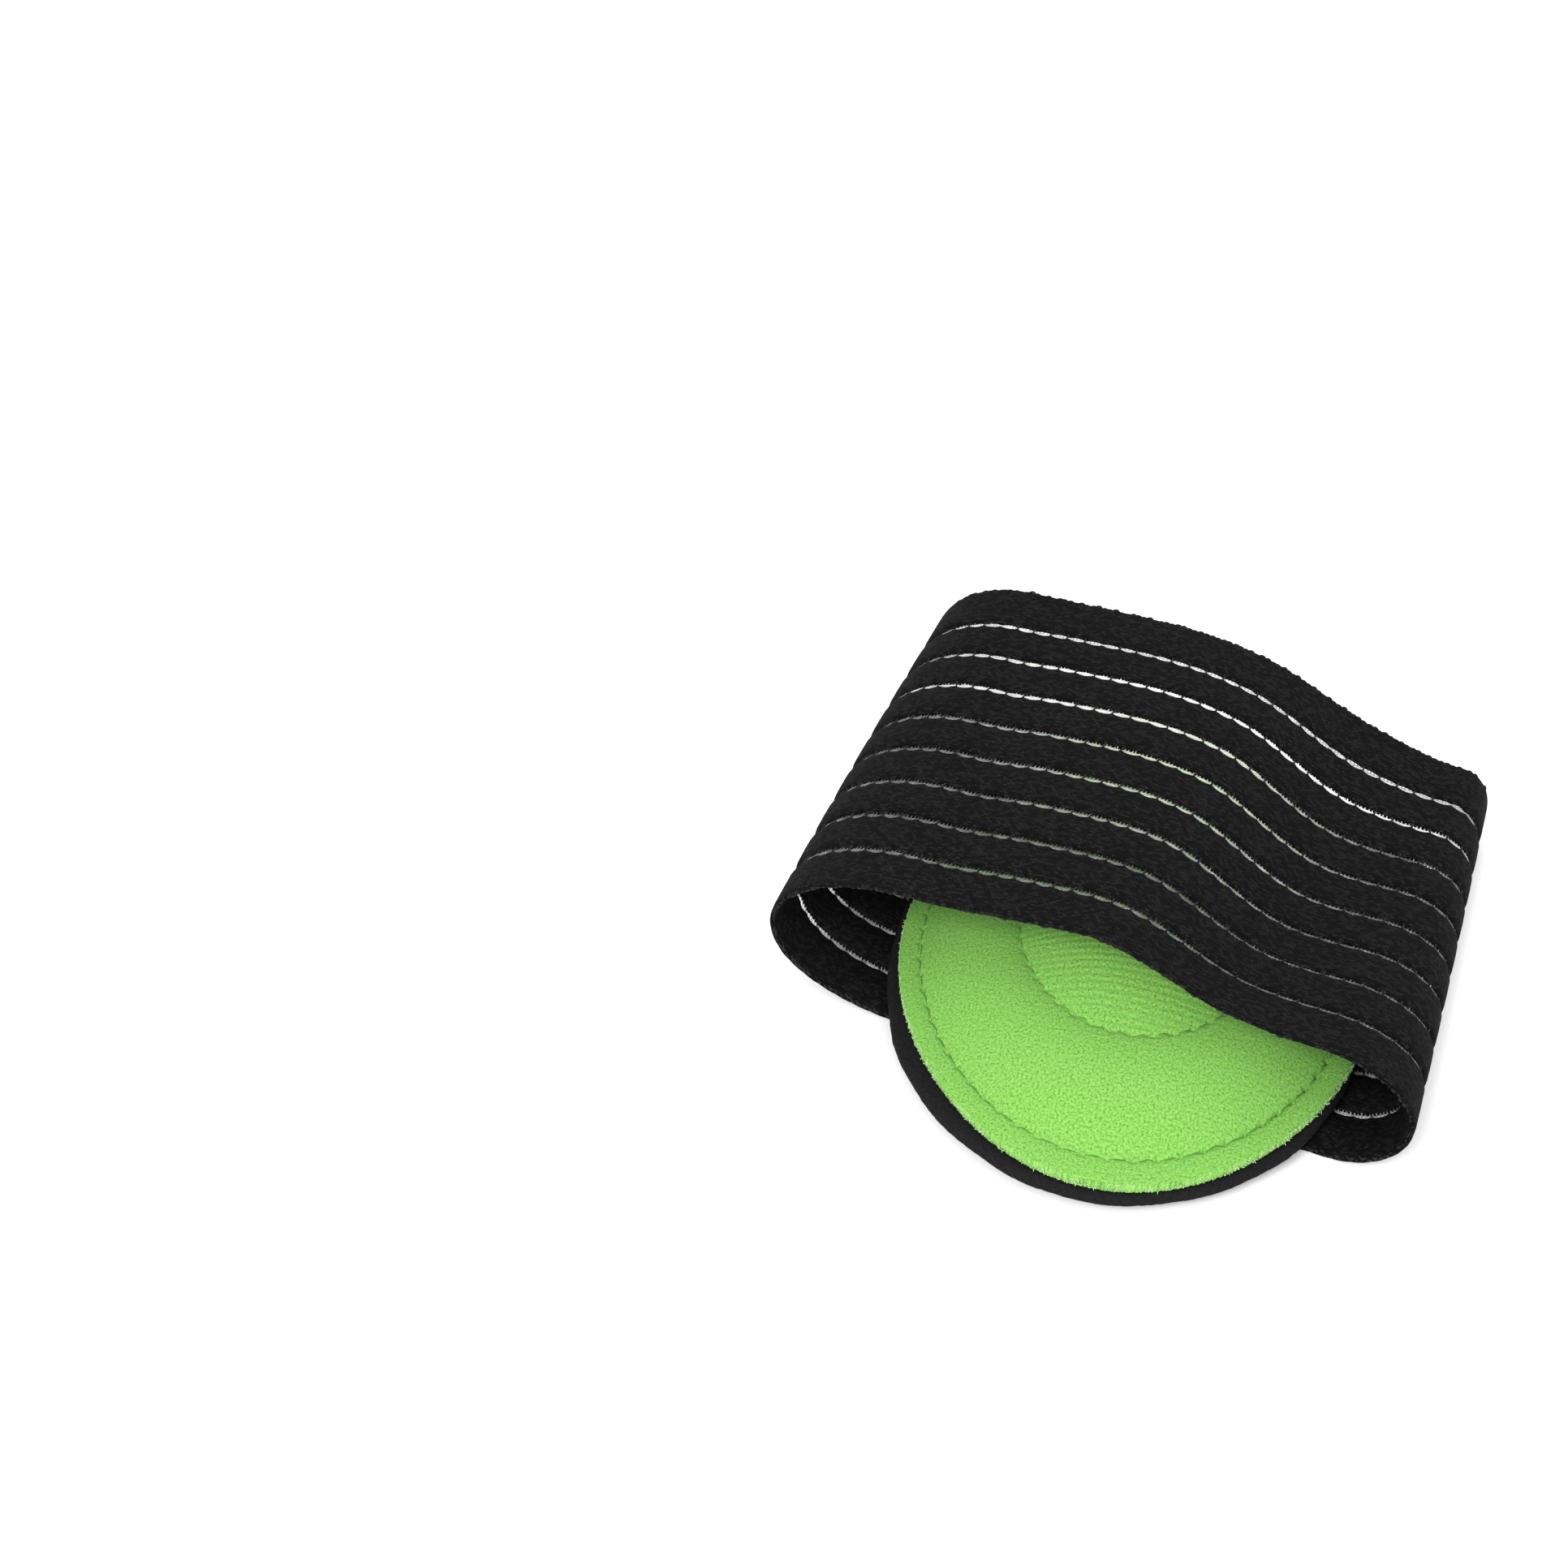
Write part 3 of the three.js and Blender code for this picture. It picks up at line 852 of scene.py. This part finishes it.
# Where the clear filaments are stretched milky and carry a painted green cast, and where they are made
# nearly opaque white as painted light from behind: a centre and a reach along each axis in metres, and the
# turn of those axes about Z.
STRETCHED_WITH_PAINTED_GREEN = dict(centre=(0.003, 0.016, 0.02), reach=(0.031, 0.025, 0.05), turn=0.0)
PAINTED_BACKLIT_WHITE = dict(centre=(0.0, 0.0315, 0.02), reach=(0.06, 0.009, 0.05), turn=math.radians(5.6))


def filament_look():
    """Clear filament: milky where the sleeve is stretched, with a painted green cast there for light from
    the cushion below the slits; milky where it lies slack; and nearly opaque white along its back, a
    painted light for the white floor seen through those slits."""
    look = Look("clear_filament", (0.8, 0.8, 0.78), 0.4, specular=0.15)
    look.shader.inputs["IOR"].default_value = 1.2
    place = look.add("ShaderNodeTexCoord").outputs["Object"]
    noise = look.add("ShaderNodeTexNoise", {"Vector": place}, {"Scale": 600, "Detail": 2})
    shade = look.add("ShaderNodeValToRGB", {"Fac": noise.outputs["Fac"]})
    shade.color_ramp.elements[0].position = 0.35
    shade.color_ramp.elements[0].color = (0.72, 0.72, 0.7, 1)
    shade.color_ramp.elements[1].position = 0.65
    shade.color_ramp.elements[1].color = (0.97, 0.97, 0.95, 1)

    def closeness(centre, reach, turn):
        """1 at a centre, and 0 at its reach along each axis."""
        centred = look.add(
            "ShaderNodeMapping", {"Vector": place},
            {"Location": centre, "Rotation": (0, 0, turn), "Scale": reach}, vector_type="TEXTURE",
        )
        return look.add(
            "ShaderNodeTexGradient", {"Vector": centred.outputs["Vector"]}, gradient_type="SPHERICAL"
        ).outputs["Fac"]

    stretch_with_painted_green = closeness(**STRETCHED_WITH_PAINTED_GREEN)
    painted_backlit_white = closeness(**PAINTED_BACKLIT_WHITE)
    # Painted green light: the filaments turn green where the cushion's green would show through the slits.
    shade_with_painted_green = look.add(
        "ShaderNodeMix", {"Factor": stretch_with_painted_green, 6: shade.outputs["Color"]},
        {7: (0.74, 0.84, 0.64, 1)}, data_type="RGBA",
    )
    look.use("Base Color", shade_with_painted_green.outputs[2])
    height = look.add("ShaderNodeSeparateXYZ", {"Vector": place})
    slack = look.add(
        "ShaderNodeMapRange", {"Value": height.outputs["Z"]},
        {"From Min": 0.001, "From Max": 0.004, "To Min": 1.0, "To Max": 0.0},
    )
    milky = look.add("ShaderNodeMath", {0: stretch_with_painted_green, 1: slack.outputs["Result"]}, operation="MAXIMUM")
    clear = look.add("ShaderNodeValToRGB", {"Fac": milky.outputs["Value"]})
    clear.color_ramp.elements[0].color = (0.95, 0.95, 0.95, 1)
    clear.color_ramp.elements[1].color = (0.54, 0.54, 0.54, 1)
    # Painted light from behind: along the back the filaments are nearly opaque, so they read white there.
    outside_painted_backlit_white = look.add(
        "ShaderNodeMapRange", {"Value": painted_backlit_white},
        {"From Min": 0.0, "From Max": 0.6, "To Min": 1.0, "To Max": 0.15},
    )
    clearness = look.add(
        "ShaderNodeMath", {0: clear.outputs["Color"], 1: outside_painted_backlit_white.outputs["Result"]}, operation="MULTIPLY"
    )
    look.use("Transmission Weight", clearness.outputs["Value"])
    return look.material


def yarn_look(name, dark, light, roughness, scale):
    """Yarn with lighter and darker lengths."""
    look = Look(name, light, roughness, specular=0.2)
    place = look.add("ShaderNodeTexCoord").outputs["Object"]
    noise = look.add("ShaderNodeTexNoise", {"Vector": place}, {"Scale": scale, "Detail": 2})
    shade = look.add("ShaderNodeValToRGB", {"Fac": noise.outputs["Fac"]})
    shade.color_ramp.elements[0].position = 0.3
    shade.color_ramp.elements[0].color = (*dark, 1)
    shade.color_ramp.elements[1].position = 0.7
    shade.color_ramp.elements[1].color = (*light, 1)
    look.use("Base Color", shade.outputs["Color"])
    bumps = look.add(
        "ShaderNodeBump", {"Height": noise.outputs["Fac"]}, {"Strength": 0.3, "Distance": 0.0001}
    )
    look.use("Normal", bumps.outputs["Normal"])
    return look.material


# Stage

# Half width of the floor in metres, and how far the camera looks down and turns to the left, in degrees.
FLOOR_HALF = 3.0
CAMERA_DOWN = 38.09
CAMERA_TURN = 24.67


def make_floor():
    """White floor, which belongs to the stage."""
    mesh = bpy.data.meshes.new("floor")
    corners = [(x * FLOOR_HALF, y * FLOOR_HALF, 0) for x, y in ((-1, -1), (1, -1), (1, 1), (-1, 1))]
    mesh.from_pydata(corners, [], [(0, 1, 2, 3)])
    mesh.materials.append(Look("floor_white", (0.96, 0.96, 0.96), 0.95, specular=0.0).material)
    floor = bpy.data.objects.new("floor", mesh)
    bpy.context.scene.collection.objects.link(floor)


def make_lights():
    """White surroundings and three area lights that face the part."""
    scene = bpy.context.scene
    world = bpy.data.worlds.new("studio")
    world.use_nodes = True
    world.node_tree.nodes["Background"].inputs["Color"].default_value = (1, 1, 1, 1)
    world.node_tree.nodes["Background"].inputs["Strength"].default_value = 1.0
    scene.world = world
    for name, place, size, power in (
        ("key_light", (-0.1, -0.72, 0.64), 0.35, 7.2),
        ("side_light", (0.6, -0.5, 0.5), 0.8, 2.4),
        ("back_light", (0.1, 0.8, 0.7), 0.8, 3.6),
    ):
        data = bpy.data.lights.new(name, "AREA")
        data.size = size
        data.energy = power
        light = bpy.data.objects.new(name, data)
        light.location = place
        light.rotation_euler = (-light.location).to_track_quat("-Z", "Y").to_euler()
        scene.collection.objects.link(light)
    scene.view_settings.view_transform = "Standard"


def make_camera():
    """The photograph's view."""
    data = bpy.data.cameras.new("camera")
    data.sensor_width = 36.0
    data.lens = 53.4
    data.clip_start = 0.01
    camera = bpy.data.objects.new("camera", data)
    camera.location = (0.06445, -0.2627, 0.2417)
    camera.rotation_euler = Euler((math.radians(90 - CAMERA_DOWN), 0, math.radians(CAMERA_TURN)))
    bpy.context.scene.collection.objects.link(camera)
    bpy.context.scene.camera = camera


make_camera()
make_floor()
make_lights()

surface = SleeveSurface()
phases = rng.random(SLIT_COUNT)
knit = knit_look()
ribs = make_ribs(surface, phases, knit)
black_yarn = yarn_look("black_yarn", (0.008, 0.008, 0.009), (0.02, 0.02, 0.021), 0.8, 1500)
ties = make_neck_ties(surface, phases, black_yarn)
loops = make_edge_loops(surface, black_yarn)
filament = filament_look()
combs = make_ladder_combs(surface, phases, filament)
cords = make_ladder_cords(surface, phases, filament)

seams = Seams()
cushion, top, edge = make_cushion(seams, cover_look())
stitch_yarn = yarn_look("seam_yarn", (0.05, 0.17, 0.02), (0.10, 0.27, 0.045), 0.8, 1800)
stitches = make_seam_threads(seams, top, stitch_yarn)
pile_yarn = yarn_look("pile_fibre", (0.25, 0.49, 0.13), (0.47, 0.68, 0.33), 0.9, 700)
fuzz = make_edge_fuzz(edge, pile_yarn)
backing = make_backing(backing_look())

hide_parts("sleeve_band")
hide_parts("arch_pad")
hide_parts("pad_backing")
for slot, pieces in (
    ("elastic_knit", (ribs, ties, loops, combs, cords)),
    ("loop_cover", (cushion, stitches, fuzz)),
    ("backing_cloth", (backing,)),
):
    for piece in pieces:
        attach(piece, "root")
